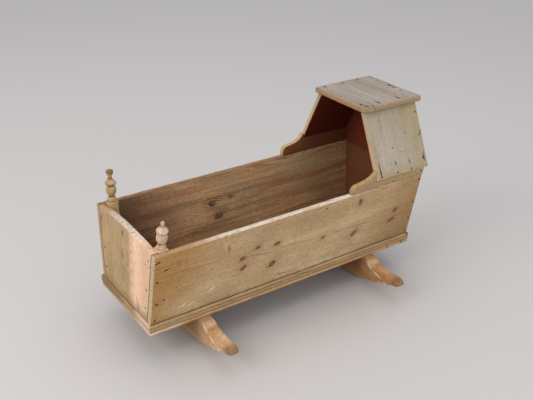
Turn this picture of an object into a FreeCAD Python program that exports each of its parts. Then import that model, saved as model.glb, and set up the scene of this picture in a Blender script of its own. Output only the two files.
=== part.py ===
import FreeCAD, Part
import os
import math
from FreeCAD import Vector, Rotation, Placement

os.makedirs("parts", exist_ok=True)

# A hooded rocking cradle in pine boards. +X points to the hood, +Y to the sleeper's left,
# +Z up, floor at zero. All sizes in millimetres.

# base and rockers
base_length = 914.0
base_width = 305.0
base_thick = 12.5
rocker_high = 94.0        # floor to the underside of the base
rocker_radius = 700.0     # running curve
rocker_flat = 15.0        # half width of the worn flat under the middle
rocker_thick = 34.0
rocker_spread = 292.0     # cradle centre to rocker centre
rocker_reach = 304.0      # half length to the tip of the toe
rocker_shoulder = 156.0   # half length of the seat under the base

# walls
side_thick = 17.0
end_thick = 19.0
side_high = 234.5         # base board to rim
flare_deg = 7.8           # sides lean outwards
lean_deg = 3.0            # both ends lean towards the head
foot_arch = 10.5          # rise of the foot board at its middle
wall_inset = 3.8          # base edge to wall, at the top of the moulding

# planted moulding round the base
mould_high = 20.0
mould_nose = 2.0          # how far the nosing stands past the base edge
mould_butt = -78.0        # where the two right-hand lengths meet
mould_gap = 0.3           # open joint between them
mould_over = 10.0         # extra length before the mitres are cut

# hood
hood_thick = 15.0
hood_length = 201.5
hood_past = 14.5          # how far the hood's back edges stand past the base
hood_slant = 4.0          # how far the panel's ends move headwards from bottom to top
hood_rise = 29.0          # rim to the panel's lower edge
hood_proud = 10.0         # lower edge stands past the cheek by this much
hood_top_half = 106.0
roof_rise = 209.5         # rim to the underside of the roof
roof_thick = 18.5
roof_half = 118.0
roof_length = 221.0
roof_past = 32.0          # how far the roof stands past the base
roof_round = 4.5
head_split = 231.0        # width of the lower head board
cheek_run = 84.0          # length of the scroll in front of the hood
cheek_top = 43.0          # rim to the cheek's edge behind the panel

# foot posts
post_size = 30.0
post_high_left = 13.0     # rim to the shoulder of the square; the two stand unevenly
post_high_right = 5.0
turning = [(3.0, 12.4), (7.5, 10.0), (12.0, 9.0), (16.5, 10.2), (23.0, 13.4), (31.0, 14.8),
           (38.0, 14.0), (43.0, 12.6), (45.0, 12.4), (48.0, 14.4), (51.5, 15.0),
           (55.0, 13.6), (60.0, 8.6)]
button_left = [(66.0, 4.9), (70.0, 5.6), (75.0, 8.6), (80.0, 10.5), (84.5, 10.0), (87.5, 6.0)]
button_right = [(64.0, 4.2), (67.0, 4.4), (70.5, 5.7), (73.5, 5.6), (76.5, 3.6)]

# nails, pins and dowels
nail_side = 3.0
nail_head = 6.5
nail_head_thick = 1.6
nail_sunk = 0.6
pin_side = 1.8
pin_head = 3.0
pin_head_thick = 1.0
hole_play = 0.05          # all round a shank or head
dowel_radius = 4.0
dowel_length = 36.0
dowel_play = 0.05

# levels and slopes
z_base = rocker_high
z_floor = z_base + base_thick
z_mould = z_floor + mould_high
z_rim = z_floor + side_high
z_roof = z_rim + roof_rise
z_hood = z_rim + hood_rise
flare = math.tan(math.radians(flare_deg))
lean = math.tan(math.radians(lean_deg))
side_across = side_thick / math.cos(math.radians(flare_deg))
end_across = end_thick / math.cos(math.radians(lean_deg))
half_base = base_length / 2
half_width = base_width / 2
hood_back = half_base + hood_past
hood_front = hood_back - hood_length
roof_back = half_base + roof_past
roof_front = roof_back - roof_length
far = 1200.0

# everything is drawn about the base's middle, then moved so the whole length is centred
shift = -(roof_back - half_base - mould_nose) / 2


def side_out(z):
    return half_width - wall_inset + (z - z_mould) * flare


def side_in(z):
    return side_out(z) - side_across


def foot_out(z):
    return -(half_base - wall_inset) + (z - z_mould) * lean


def foot_in(z):
    return foot_out(z) + end_across


def head_out(z):
    return half_base - wall_inset + (z - z_mould) * lean


def head_in(z):
    return head_out(z) - end_across


hood_low = side_out(z_hood) + hood_proud
hood_slope = (hood_low - hood_top_half) / (z_roof - z_hood)
hood_angle = math.atan(hood_slope)
hood_across = hood_thick / math.cos(hood_angle)


def hood_out(z):
    return hood_low - (z - z_hood) * hood_slope


def hood_in(z):
    return hood_out(z) - hood_across


def hood_shift(z):
    return hood_slant * (z - z_hood) / (z_roof - z_hood)


def closed_face(points):
    return Part.Face(Part.makePolygon(points + [points[0]]))


def across(points, low=-far, high=far):
    # a side-view outline of (x, z) points, run along Y
    face = closed_face([Vector(x, low, z) for x, z in points])
    return face.extrude(Vector(0, high - low, 0))


def along(points, low=-far, high=far):
    # an end-view outline of (y, z) points, run along X
    face = closed_face([Vector(low, y, z) for y, z in points])
    return face.extrude(Vector(high - low, 0, 0))


def flipped(shape):
    return shape.mirror(Vector(0, 0, 0), Vector(0, 1, 0))


def in_end_view(y, z, x=0.0):
    return Vector(x, y, z)


def arc(a, b, c):
    return Part.Arc(a, b, c).toShape()


# ---- side boards
def side_board():
    outline = [(foot_out(z_floor), z_floor), (head_out(z_floor), z_floor),
               (head_out(z_rim), z_rim), (foot_out(z_rim), z_rim)]
    section = [(side_in(z_floor), z_floor), (side_out(z_floor), z_floor),
               (side_out(z_rim), z_rim), (side_in(z_rim), z_rim)]
    return across(outline).common(along(section))


# ---- scrolled cheeks on top of the sides, under the hood
def cheek():
    start = hood_front - cheek_run
    top = z_rim + cheek_top
    high = z_rim + 56.0

    def p(x, z):
        return Vector(x, 0, z)

    edges = [
        Part.makeLine(p(head_out(z_rim), z_rim), p(start, z_rim)),
        Part.makeLine(p(start, z_rim), p(start, z_rim + 11)),
        arc(p(start, z_rim + 11), p(start + 4.5, z_rim + 21.5), p(start + 15, z_rim + 26.5)),
        Part.makeLine(p(start + 15, z_rim + 26.5), p(start + 38, z_rim + 29.5)),
        arc(p(start + 38, z_rim + 29.5), p(start + 64, z_rim + 37.5), p(hood_front, high)),
        Part.makeLine(p(hood_front, high), p(hood_front, top)),
        Part.makeLine(p(hood_front, top), p(head_out(top), top)),
        Part.makeLine(p(head_out(top), top), p(head_out(z_rim), z_rim)),
    ]
    face = Part.Face(Part.Wire(edges))
    face.translate(Vector(0, 10, 0))
    blank = face.extrude(Vector(0, far, 0))
    section = [(side_in(z_rim), z_rim), (side_out(z_rim), z_rim),
               (side_out(high + 5), high + 5), (side_in(high + 5), high + 5)]
    board = blank.common(along(section))
    bevel = [(hood_in(z_rim), z_rim), (far, z_rim), (far, z_roof), (hood_in(z_roof), z_roof)]
    return board.cut(along(bevel, hood_front + hood_shift(z_rim), far))


# ---- foot board with its arched top, and its 3 degree lean
def foot_board():
    top = z_rim + foot_arch
    slab = across([(foot_out(z_floor), z_floor), (foot_in(z_floor), z_floor),
                   (foot_in(top + 5), top + 5), (foot_out(top + 5), top + 5)])
    low, rim = side_in(z_floor), side_in(z_rim)
    edges = [
        Part.makeLine(in_end_view(-low, z_floor), in_end_view(low, z_floor)),
        Part.makeLine(in_end_view(low, z_floor), in_end_view(rim, z_rim)),
        arc(in_end_view(rim, z_rim), in_end_view(0, top), in_end_view(-rim, z_rim)),
        Part.makeLine(in_end_view(-rim, z_rim), in_end_view(-low, z_floor)),
    ]
    face = Part.Face(Part.Wire(edges))
    face.translate(Vector(-far, 0, 0))
    return slab.common(face.extrude(Vector(far, 0, 0)))


# ---- head boards, one above the other, up to the roof
def head_board(low, high):
    slab = across([(head_in(low), low), (head_out(low), low),
                   (head_out(high), high), (head_in(high), high)])
    meet = z_hood + (hood_in(z_hood) - side_in(z_hood)) / (flare + hood_slope)
    right = [(side_in(z_floor), z_floor), (side_in(meet), meet), (hood_in(z_roof), z_roof)]
    outline = right + [(-y, z) for y, z in reversed(right)]
    return slab.common(along(outline))


# ---- hood panels
def hood_panel():
    drop = (hood_low - hood_thick * math.cos(hood_angle),
            z_hood - hood_thick * math.sin(hood_angle))
    section = [(hood_low, z_hood), (hood_top_half, z_roof), (hood_in(z_roof), z_roof), drop]
    low = drop[1]
    outline = [(hood_front + hood_shift(low), low), (hood_back + hood_shift(low), low),
               (hood_back + hood_shift(z_roof), z_roof),
               (hood_front + hood_shift(z_roof), z_roof)]
    return across(outline).common(along(section))


def hood_roof():
    board = Part.makeBox(roof_back - roof_front, 2 * roof_half, roof_thick,
                         Vector(roof_front, -roof_half, z_roof))
    return board.makeFillet(roof_round, board.Edges)


# ---- corner posts with a turned finial
def corner_post(post_high, button):
    top = z_rim + post_high
    face_x = [(foot_in(z_floor), z_floor), (foot_in(z_floor) + post_size, z_floor),
              (foot_in(top) + post_size, top), (foot_in(top), top)]
    face_y = [(side_in(z_floor) - post_size, z_floor), (side_in(z_floor), z_floor),
              (side_in(top), top), (side_in(top) - post_size, top)]
    square = across(face_x).common(along(face_y))
    tip = button[-1][0] + 1.0
    points = [Vector(radius, 0, height) for height, radius in turning + button]
    curve = Part.BSplineCurve()
    curve.interpolate(points)
    foot = turning[0][1] + 0.4
    lower = Part.makePolygon([Vector(0, 0, tip), Vector(0, 0, -2), Vector(foot, 0, -2), points[0]])
    upper = Part.makeLine(points[-1], Vector(0, 0, tip))
    outline = Part.Wire(lower.Edges + [curve.toShape(), upper])
    finial = Part.Face(outline).revolve(Vector(0, 0, 0), Vector(0, 0, 1), 360)
    seat = Vector(foot_in(top) + post_size / 2, side_in(top) - post_size / 2, top)
    finial.Placement = Placement(seat, Rotation(Vector(0, 0, 1), Vector(lean, flare, 1)))
    return square.fuse(finial).removeSplitter()


# ---- base board
def base_board():
    return Part.makeBox(base_length, base_width, base_thick,
                        Vector(-half_base, -half_width, z_base))


# ---- nosed moulding: back follows the wall, front is a flattened bead
def mould_section(wall, edge, place):
    nose = edge + mould_nose
    flat = z_mould - 1.5
    low = place(wall(z_floor), z_floor)
    high = place(wall(z_mould), z_mould)
    rim = place(edge - 0.3, z_mould)
    out_high = place(nose - 0.4, flat - 3.5)
    bulge = place(nose, z_floor + mould_high * 0.52)
    out_low = place(edge - 0.2, z_floor + 2.0)
    toe = place(edge - 1.0, z_floor)
    edges = [
        Part.makeLine(low, high),
        Part.makeLine(high, rim),
        arc(rim, place(nose - 0.9, flat - 0.6), out_high),
        arc(out_high, bulge, out_low),
        Part.makeLine(out_low, toe),
        Part.makeLine(toe, low),
    ]
    return Part.Face(Part.Wire(edges))


def side_moulding(start, end):
    face = mould_section(side_out, half_width, lambda y, z: Vector(start, y, z))
    strip = face.extrude(Vector(end - start, 0, 0))
    return strip.cut([mitre_waste(1, 1, True), mitre_waste(-1, 1, True)])


def end_moulding(turn):
    def wall(z):
        return head_out(z) if turn > 0 else -foot_out(z)

    start = -half_width - mould_over
    face = mould_section(wall, half_base, lambda x, z: Vector(turn * x, start, z))
    strip = face.extrude(Vector(0, -2 * start, 0))
    return strip.cut([mitre_waste(turn, 1, False), mitre_waste(turn, -1, False)])


def mitre_waste(sx, sy, on_side):
    # the wedge cut away where a strip meets the next one round the corner
    x = half_base + mould_nose
    y = half_width + mould_nose
    run = 130.0
    third = (x + mould_over, y - run) if on_side else (x - run, y + mould_over)
    wedge = [(x + mould_over, y + mould_over), (x - run, y - run), third]
    face = closed_face([Vector(sx * px, sy * py, 0) for px, py in wedge])
    return face.extrude(Vector(0, 0, far))


# ---- rockers
def rocker(middle):
    centre = math.sqrt(rocker_radius ** 2 - rocker_flat ** 2)

    def run(y):
        return centre - math.sqrt(rocker_radius ** 2 - y ** 2)

    def half(sign):
        def p(y, z):
            return Vector(middle - rocker_thick / 2, sign * y, z)

        seat = rocker_shoulder
        toe = rocker_reach
        top = z_base
        return [
            Part.makeLine(p(0, top), p(seat, top)),
            arc(p(seat, top), p(seat + 18, top - 2.6), p(seat + 31, top - 9.5)),
            arc(p(seat + 31, top - 9.5), p(seat + 43, top - 15.5), p(seat + 60, top - 18)),
            arc(p(seat + 60, top - 18), p(seat + 84, top - 19), p(toe - 36, top - 17)),
            arc(p(toe - 36, top - 17), p(toe - 11, top - 19), p(toe, top - 27)),
            arc(p(toe, top - 27), p(toe - 4, top - 31.5), p(toe - 17, run(toe - 17))),
            arc(p(toe - 17, run(toe - 17)), p(toe / 2, run(toe / 2)), p(rocker_flat, 0)),
            Part.makeLine(p(rocker_flat, 0), p(0, 0)),
        ]

    wire = Part.Wire(Part.sortEdges(half(1) + half(-1))[0])
    return Part.Face(wire).extrude(Vector(rocker_thick, 0, 0)).removeSplitter()


# ---- nails: a square shank, with a flat head let in just below the surface
def square_bar(width, low, high):
    return Part.makeBox(width, width, high - low, Vector(-width / 2, -width / 2, low))


def placed(shape, point, direction):
    shape.Placement = Placement(point, Rotation(Vector(0, 0, 1), direction))
    return shape


def nail(point, direction, length, small):
    width, head, thick = (pin_side, pin_head, pin_head_thick) if small else \
        (nail_side, nail_head, nail_head_thick)
    body = square_bar(head, nail_sunk, nail_sunk + thick)
    body = body.fuse(square_bar(width, nail_sunk + thick, length)).removeSplitter()
    hole = square_bar(head + 2 * hole_play, -3, nail_sunk + thick)
    hole = hole.fuse(square_bar(width + 2 * hole_play, nail_sunk + thick, length + 1))
    return placed(body, point, direction), placed(hole, point, direction)


boards = {}
boards["base_board"] = base_board()
boards["side_board_left"] = side_board()
boards["side_board_right"] = flipped(side_board())
boards["cheek_left"] = cheek()
boards["cheek_right"] = flipped(cheek())
boards["foot_board"] = foot_board()
boards["head_board_lower"] = head_board(z_floor, z_floor + head_split)
boards["head_board_upper"] = head_board(z_floor + head_split, z_roof)
boards["hood_panel_left"] = hood_panel()
boards["hood_panel_right"] = flipped(hood_panel())
boards["hood_roof"] = hood_roof()
boards["corner_post_left"] = corner_post(post_high_left, button_left)
boards["corner_post_right"] = flipped(corner_post(post_high_right, button_right))
strip_end = half_base + mould_over
boards["moulding_left"] = side_moulding(-strip_end, strip_end)
boards["moulding_right_foot"] = flipped(side_moulding(-strip_end, mould_butt - mould_gap / 2))
boards["moulding_right_head"] = flipped(side_moulding(mould_butt + mould_gap / 2, strip_end))
boards["moulding_foot"] = end_moulding(-1)
boards["moulding_head"] = end_moulding(1)
boards["rocker_foot"] = rocker(-rocker_spread)
boards["rocker_head"] = rocker(rocker_spread)

# ---- where the nails go: group, point, direction, length, small, boards passed through
nails = []


def both_sides(group, x, y, z, dx, dy, dz, length, small, through):
    for side, sign in (("left", 1), ("right", -1)):
        names = [name.replace("SIDE", side) for name in through]
        nails.append((group, Vector(x, sign * y, z), Vector(dx, sign * dy, dz),
                      length, small, names))


inward = (0, -math.cos(math.radians(flare_deg)), math.sin(math.radians(flare_deg)))
down_slope = (0, -math.cos(hood_angle), -math.sin(hood_angle))
for rise in (30, 84, 155, 217):
    z = z_floor + rise
    both_sides("nails_foot_corner", foot_in(z) - end_thick / 3, side_out(z), z,
               *inward, 46, False, ["side_board_SIDE", "foot_board"])
for rise in (30, 78, 136, 217):
    z = z_floor + rise
    both_sides("nails_head_corner", (head_out(z) + head_in(z)) / 2, side_out(z), z,
               *inward, 46, False, ["side_board_SIDE", "head_board_lower"])
z = z_rim + 12
both_sides("nails_head_corner", (head_out(z) + head_in(z)) / 2, side_out(z), z,
           *inward, 46, False, ["cheek_SIDE", "head_board_upper"])
for rise in (60, 118, 208):
    z = z_floor + rise
    both_sides("nails_foot_post", foot_out(z), side_in(z) - post_size / 2, z,
               1, 0, -lean, 40, False, ["foot_board", "corner_post_SIDE"])
for rise in (92, 186):
    z = z_floor + rise
    both_sides("nails_foot_post", foot_in(z) + post_size / 2, side_out(z), z,
               *inward, 34, False, ["side_board_SIDE", "corner_post_SIDE"])
for x in (hood_front + 17, hood_front + 79, hood_front + 134):
    z = z_hood + 7
    both_sides("nails_hood", x, hood_out(z), z, *down_slope, 28, False,
               ["hood_panel_SIDE", "cheek_SIDE"])
for rise in (27, 90, 152):
    z = z_hood + rise
    both_sides("nails_hood", (head_out(z) + head_in(z)) / 2, hood_out(z), z,
               *down_slope, 42, False, ["hood_panel_SIDE", "head_board_upper"])
z = z_roof + roof_thick
for side, sign, row in (("left", 1, (26, 95, 158)), ("right", -1, (14, 67, 145))):
    for run in row:
        nails.append(("nails_roof", Vector(roof_front + run, sign * (hood_top_half - 5), z),
                      Vector(0, 0, -1), 34, False, ["hood_roof", "hood_panel_" + side]))
for y in (-50.0, 3.0, 56.0):
    nails.append(("nails_roof", Vector((head_out(z_roof) + head_in(z_roof)) / 2, y, z),
                  Vector(0, 0, -1), 44, False, ["hood_roof", "head_board_upper"]))
for share in (-0.941, -0.766, -0.46, -0.153, 0.153, 0.46, 0.766, 0.941):
    both_sides("nails_base", share * half_base, (side_out(z_floor) + side_in(z_floor)) / 2, z_base,
               0, 0, 1, 40, False, ["base_board", "side_board_SIDE"])
for y in (-0.525 * half_width, 0.0, 0.525 * half_width):
    for wall, name in (((foot_out(z_floor) + foot_in(z_floor)) / 2, "foot_board"),
                       ((head_out(z_floor) + head_in(z_floor)) / 2, "head_board_lower")):
        nails.append(("nails_base", Vector(wall, y, z_base), Vector(0, 0, 1), 40, False,
                      ["base_board", name]))
for middle, name in ((-rocker_spread, "rocker_foot"), (rocker_spread, "rocker_head")):
    for share in (-0.623, -0.23, 0.23, 0.623):
        nails.append(("nails_rocker", Vector(middle, share * half_width, z_floor),
                      Vector(0, 0, -1), 52, False, ["base_board", name]))
pin_z = z_floor + mould_high * 0.52
for share in (-0.875, -0.547, -0.219, 0.044, 0.284, 0.591, 0.897):
    x = share * half_base
    names = ["moulding_right_foot" if x < mould_butt else "moulding_right_head",
             "side_board_right"]
    nails.append(("pins_moulding", Vector(x, -half_width - mould_nose, pin_z), Vector(0, 1, 0),
                  17, True, names))
    nails.append(("pins_moulding", Vector(x, half_width + mould_nose, pin_z), Vector(0, -1, 0),
                  17, True, ["moulding_left", "side_board_left"]))
for share in (-0.774, -0.315, 0.262, 0.761):
    y = share * half_width
    nails.append(("pins_moulding", Vector(-half_base - mould_nose, y, pin_z), Vector(1, 0, 0),
                  17, True, ["moulding_foot", "foot_board"]))
    nails.append(("pins_moulding", Vector(half_base + mould_nose, y, pin_z), Vector(-1, 0, 0),
                  17, True, ["moulding_head", "head_board_lower"]))

groups = {}
holes = {}
for group, point, direction, length, small, through in nails:
    body, hole = nail(point, direction, length, small)
    groups.setdefault(group, []).append(body)
    for name in through:
        holes.setdefault(name, []).append(hole)

# ---- dowels in the edge joint between side and cheek
for name, sign in (("left", 1), ("right", -1)):
    for x in (hood_front - 50, hood_front + 50, hood_front + 150):
        middle = Vector(x, sign * (side_out(z_rim) + side_in(z_rim)) / 2, z_rim)
        grow = Vector(0, sign * flare, 1)
        half = dowel_length / 2
        dowel = Part.makeCylinder(dowel_radius, dowel_length, Vector(0, 0, -half))
        hole = Part.makeCylinder(dowel_radius + dowel_play, dowel_length, Vector(0, 0, -half))
        groups.setdefault("dowels_cheek", []).append(placed(dowel, middle, grow))
        placed(hole, middle, grow)
        holes.setdefault("side_board_" + name, []).append(hole)
        holes.setdefault("cheek_" + name, []).append(hole)

for name, tools in holes.items():
    boards[name] = boards[name].cut(tools)


def finish(shape):
    shape.translate(Vector(shift, 0, 0))
    return shape


for name, shape in boards.items():
    solid = shape.Solids[0] if len(shape.Solids) == 1 else shape
    finish(solid).exportStep("parts/" + name + ".step")
for name, solids in groups.items():
    finish(Part.makeCompound(solids)).exportStep("parts/" + name + ".step")
print("nodes", len(boards) + len(groups))
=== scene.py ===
import bmesh
import bpy
import math
from itertools import product
from mathutils import Matrix, Vector


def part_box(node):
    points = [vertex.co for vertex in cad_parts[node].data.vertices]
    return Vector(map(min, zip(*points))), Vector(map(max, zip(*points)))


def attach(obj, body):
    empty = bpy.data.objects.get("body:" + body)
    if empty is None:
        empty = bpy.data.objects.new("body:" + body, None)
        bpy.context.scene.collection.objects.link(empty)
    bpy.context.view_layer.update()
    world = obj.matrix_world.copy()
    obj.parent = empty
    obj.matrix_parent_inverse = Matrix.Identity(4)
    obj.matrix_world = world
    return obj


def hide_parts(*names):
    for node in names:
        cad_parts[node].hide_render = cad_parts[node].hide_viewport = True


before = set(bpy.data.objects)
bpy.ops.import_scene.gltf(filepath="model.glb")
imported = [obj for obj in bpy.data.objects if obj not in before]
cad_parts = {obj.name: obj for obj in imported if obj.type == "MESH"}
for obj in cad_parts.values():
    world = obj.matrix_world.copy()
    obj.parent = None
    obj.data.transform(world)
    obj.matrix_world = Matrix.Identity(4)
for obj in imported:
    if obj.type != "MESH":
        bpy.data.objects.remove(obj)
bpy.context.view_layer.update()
bpy.ops.object.select_all(action="DESELECT")
print("frame loaded")

# slopes and thicknesses of the cradle, in metres and degrees
slopes = {
    "flareDegrees": 7.8,  # sides
    "leanDegrees": 3.0,  # both ends, towards the head
    "tiltDegrees": 25.49,  # hood panels, inwards
    "sideThick": 0.017,
    "endThick": 0.019,
    "hoodThick": 0.015,
    "hoodTopHalf": 0.106,  # half width over the hood panels, under the roof
    "hoodSlant": 0.004,
    "mouldingHigh": 0.020,
    "postSize": 0.030,
}
flareAngle = math.radians(slopes["flareDegrees"])
leanAngle = math.radians(slopes["leanDegrees"])
flare, lean = math.tan(flareAngle), math.tan(leanAngle)
sideAcross = slopes["sideThick"] / math.cos(flareAngle)
endAcross = slopes["endThick"] / math.cos(leanAngle)
baseLow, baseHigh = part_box("base_board")
sideLow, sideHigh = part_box("side_board_right")
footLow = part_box("foot_board")[0]
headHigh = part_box("head_board_upper")[1]
panelLow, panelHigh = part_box("hood_panel_right")
roofLow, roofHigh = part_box("hood_roof")
zFloor = baseHigh.z
zMoulding = zFloor + slopes["mouldingHigh"]
zRim = sideHigh.z
zRoof = roofLow.z
xMiddle = (baseLow.x + baseHigh.x) / 2
panelTilt = math.radians(slopes["tiltDegrees"])
zHood = panelLow.z + slopes["hoodThick"] * math.sin(panelTilt)


def sideOut(z):
    return -sideLow.y - (zRim - z) * flare


def sideIn(z):
    return sideOut(z) - sideAcross


def footOut(z):
    return footLow.x + (z - zFloor) * lean


def footIn(z):
    return footOut(z) + endAcross


def headOut(z):
    return headHigh.x - (zRoof - z) * lean


def headIn(z):
    return headOut(z) - endAcross


def hoodOut(z):
    return -panelLow.y - (z - zHood) * math.tan(panelTilt)


def hoodIn(z):
    return hoodOut(z) - slopes["hoodThick"] / math.cos(panelTilt)


# modelling helpers
def enter(mode):
    bpy.ops.object.mode_set(mode=mode)


def newBox(low, high):
    centre = [(a + b) / 2 for a, b in zip(low, high)]
    size = [b - a for a, b in zip(low, high)]
    bpy.ops.mesh.primitive_cube_add(size=1, location=centre, scale=size)
    piece = bpy.context.object
    bpy.ops.object.transform_apply()
    enter("EDIT")
    return piece


def only(*pieces):
    bpy.ops.object.select_all(action="DESELECT")
    for piece in pieces:
        piece.select_set(True)
    bpy.context.view_layer.objects.active = pieces[0]


def pick(test, kind="VERT"):
    bpy.ops.mesh.select_mode(type=kind)
    bpy.ops.mesh.select_all(action="DESELECT")
    form = bmesh.from_edit_mesh(bpy.context.object.data)
    parts = {"VERT": form.verts, "EDGE": form.edges, "FACE": form.faces}[kind]
    for part in parts:
        if test(part):
            part.select_set(True)
    form.select_flush_mode()
    bmesh.update_edit_mesh(bpy.context.object.data)


def drag(test, move):
    pick(test)
    bpy.ops.transform.translate(value=move)


def plate(cornerAt):  # a box whose eight corners are dragged to their places
    spots = {key: Vector(cornerAt(*key)) for key in product((0, 1), repeat=3)}
    low = Vector([min(p[i] for p in spots.values()) for i in range(3)])
    high = Vector([max(p[i] for p in spots.values()) for i in range(3)])
    piece = newBox(low, high)
    form = bmesh.from_edit_mesh(piece.data)
    middle = (low + high) / 2
    keys = [tuple(int(v.co[i] > middle[i]) for i in range(3)) for v in form.verts]
    starts = [v.co.copy() for v in form.verts]
    for index, key in enumerate(keys):
        drag(lambda v: v.index == index, spots[key] - starts[index])
    return piece


def ringCuts(**cuts):  # even cuts across every edge that runs along each axis
    for axis, number in cuts.items():
        def runsAlong(edge):
            run = (edge.verts[1].co - edge.verts[0].co).normalized()
            return abs(run["xyz".index(axis)]) > 0.75

        pick(runsAlong, "EDGE")
        bpy.ops.mesh.subdivide(number_cuts=number)


def sliceAt(point, normal):
    bpy.ops.mesh.select_all(action="SELECT")
    bpy.ops.mesh.bisect(plane_co=point, plane_no=normal)


def shadeSmooth(degrees=40):
    bpy.ops.object.shade_smooth_by_angle(angle=math.radians(degrees))


def applyModifier(piece, kind, **settings):
    only(piece)
    modifier = piece.modifiers.new(kind.title(), kind)
    for key, value in settings.items():
        setattr(modifier, key, value)
    bpy.ops.object.modifier_apply(modifier=modifier.name)


def stand(piece, up, place):  # its own up turned to the given direction
    piece.rotation_mode = "QUATERNION"
    piece.rotation_quaternion = up.to_track_quat("Z", "Y")
    piece.location = place


def unevenness(name, size, depth=2):
    texture = bpy.data.textures.new(name, "CLOUDS")
    texture.noise_scale = size
    texture.noise_depth = depth
    return texture


handPlaned = unevenness("handPlaned", 0.09)
knocked = unevenness("knocked", 0.014, 1)


def wear(piece, edge, segments=3, planed=0.0012, knocks=0.0005):
    enter("OBJECT")
    applyModifier(
        piece, "BEVEL", width=edge, segments=segments, limit_method="ANGLE",
        angle_limit=math.radians(32))
    for texture, strength in ((handPlaned, planed), (knocked, knocks)):
        if strength:
            applyModifier(
                piece, "DISPLACE", texture=texture, strength=strength, texture_coords="LOCAL")
    enter("EDIT")
    bpy.ops.mesh.select_all(action="SELECT")
    bpy.ops.mesh.remove_doubles(threshold=0.00001)
    bpy.ops.mesh.normals_make_consistent(inside=False)
    enter("OBJECT")
    shadeSmooth()
    return piece


def settle(piece, look, node):  # a piece is named after its node
    first, *rest = node.split("_")
    piece.name = first + "".join(word.title() for word in rest)
    piece.data.materials.clear()
    piece.data.materials.append(materials[look])
    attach(piece, "root")
    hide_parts(node)


# node helpers
def addNode(tree, kind, inputs=None, **settings):
    node = tree.nodes.new(kind)
    for key, value in settings.items():
        setattr(node, key, value)
    for key, value in (inputs or {}).items():
        socket = node.inputs[key]
        if isinstance(value, bpy.types.NodeSocket):
            tree.links.new(value, socket)
        else:
            socket.default_value = value
    return node


def treeOf(*values):
    return next(v.id_data for v in values if isinstance(v, bpy.types.NodeSocket))


def calc(operation, a, b=0.0, clamp=False):
    return addNode(
        treeOf(a, b), "ShaderNodeMath", {0: a, 1: b}, operation=operation,
        use_clamp=clamp).outputs[0]


def times(a, b, clamp=False):
    return calc("MULTIPLY", a, b, clamp)


def timesPlus(a, b, c):
    return addNode(
        treeOf(a), "ShaderNodeMath", {0: a, 1: b, 2: c}, operation="MULTIPLY_ADD").outputs[0]


def vectors(operation, a, b=(0, 0, 0)):
    node = addNode(treeOf(a, b), "ShaderNodeVectorMath", {0: a, 1: b}, operation=operation)
    return node.outputs["Value" if operation in ("LENGTH", "DOT_PRODUCT") else "Vector"]


def mixColour(factor, a, b, mode="MIX"):
    return addNode(
        treeOf(factor, a, b), "ShaderNodeMix", {0: factor, 6: a, 7: b}, data_type="RGBA",
        blend_type=mode).outputs[2]


def smooth(value, low, high, toLow=0.0, toHigh=1.0):
    return addNode(
        treeOf(value), "ShaderNodeMapRange",
        {"Value": value, "From Min": low, "From Max": high, "To Min": toLow, "To Max": toHigh},
        interpolation_type="SMOOTHSTEP").outputs[0]


def noise(vector, scale, detail=2.0, roughness=0.5, output="Fac"):
    return addNode(treeOf(vector), "ShaderNodeTexNoise", {
        "Vector": vector, "Scale": scale, "Detail": detail,
        "Roughness": roughness}).outputs[output]


def stretch(vector, scales, offset=(0, 0, 0)):
    return addNode(treeOf(vector), "ShaderNodeMapping", {
        "Vector": vector, "Scale": scales, "Location": offset}).outputs[0]


def cloud(vector, scales, detail=2.0, roughness=0.5, offset=(0, 0, 0)):
    return noise(stretch(vector, scales, offset), 1.0, detail, roughness)


def newGroup(name, inputs, outputs):  # inputs with their defaults; outputs are all values
    group = bpy.data.node_groups.new(name, "ShaderNodeTree")
    for label, value in inputs.items():
        kind = "NodeSocketFloat" if isinstance(value, float) else "NodeSocketVector"
        socket = group.interface.new_socket(name=label, in_out="INPUT", socket_type=kind)
        if value is not None:
            socket.default_value = value
    for label in outputs:
        group.interface.new_socket(name=label, in_out="OUTPUT", socket_type="NodeSocketFloat")
    start = group.nodes.new("NodeGroupInput").outputs
    return group, start, group.nodes.new("NodeGroupOutput").inputs


def giveOut(group, end, **results):
    for label, value in results.items():
        group.links.new(value, end[label])
    return group


def seeded(group, start):  # the board's vector, moved by its seed
    seed = start["Seed"]
    offset = addNode(group, "ShaderNodeCombineXYZ", {0: seed, 1: seed, 2: seed}).outputs[0]
    return vectors("ADD", start["Vector"], offset)


def roundSpot(group, start):  # the vector sized and turned round a centre, and its length
    local = addNode(
        group, "ShaderNodeMapping",
        {
            "Vector": start["Vector"], "Location": start["Centre"], "Rotation": start["Turn"],
            "Scale": start["Size"]},
        vector_type="TEXTURE").outputs[0]
    flat = vectors("MULTIPLY", local, (1.0, 1.0, 0.0))
    return flat, vectors("LENGTH", flat)


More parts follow.
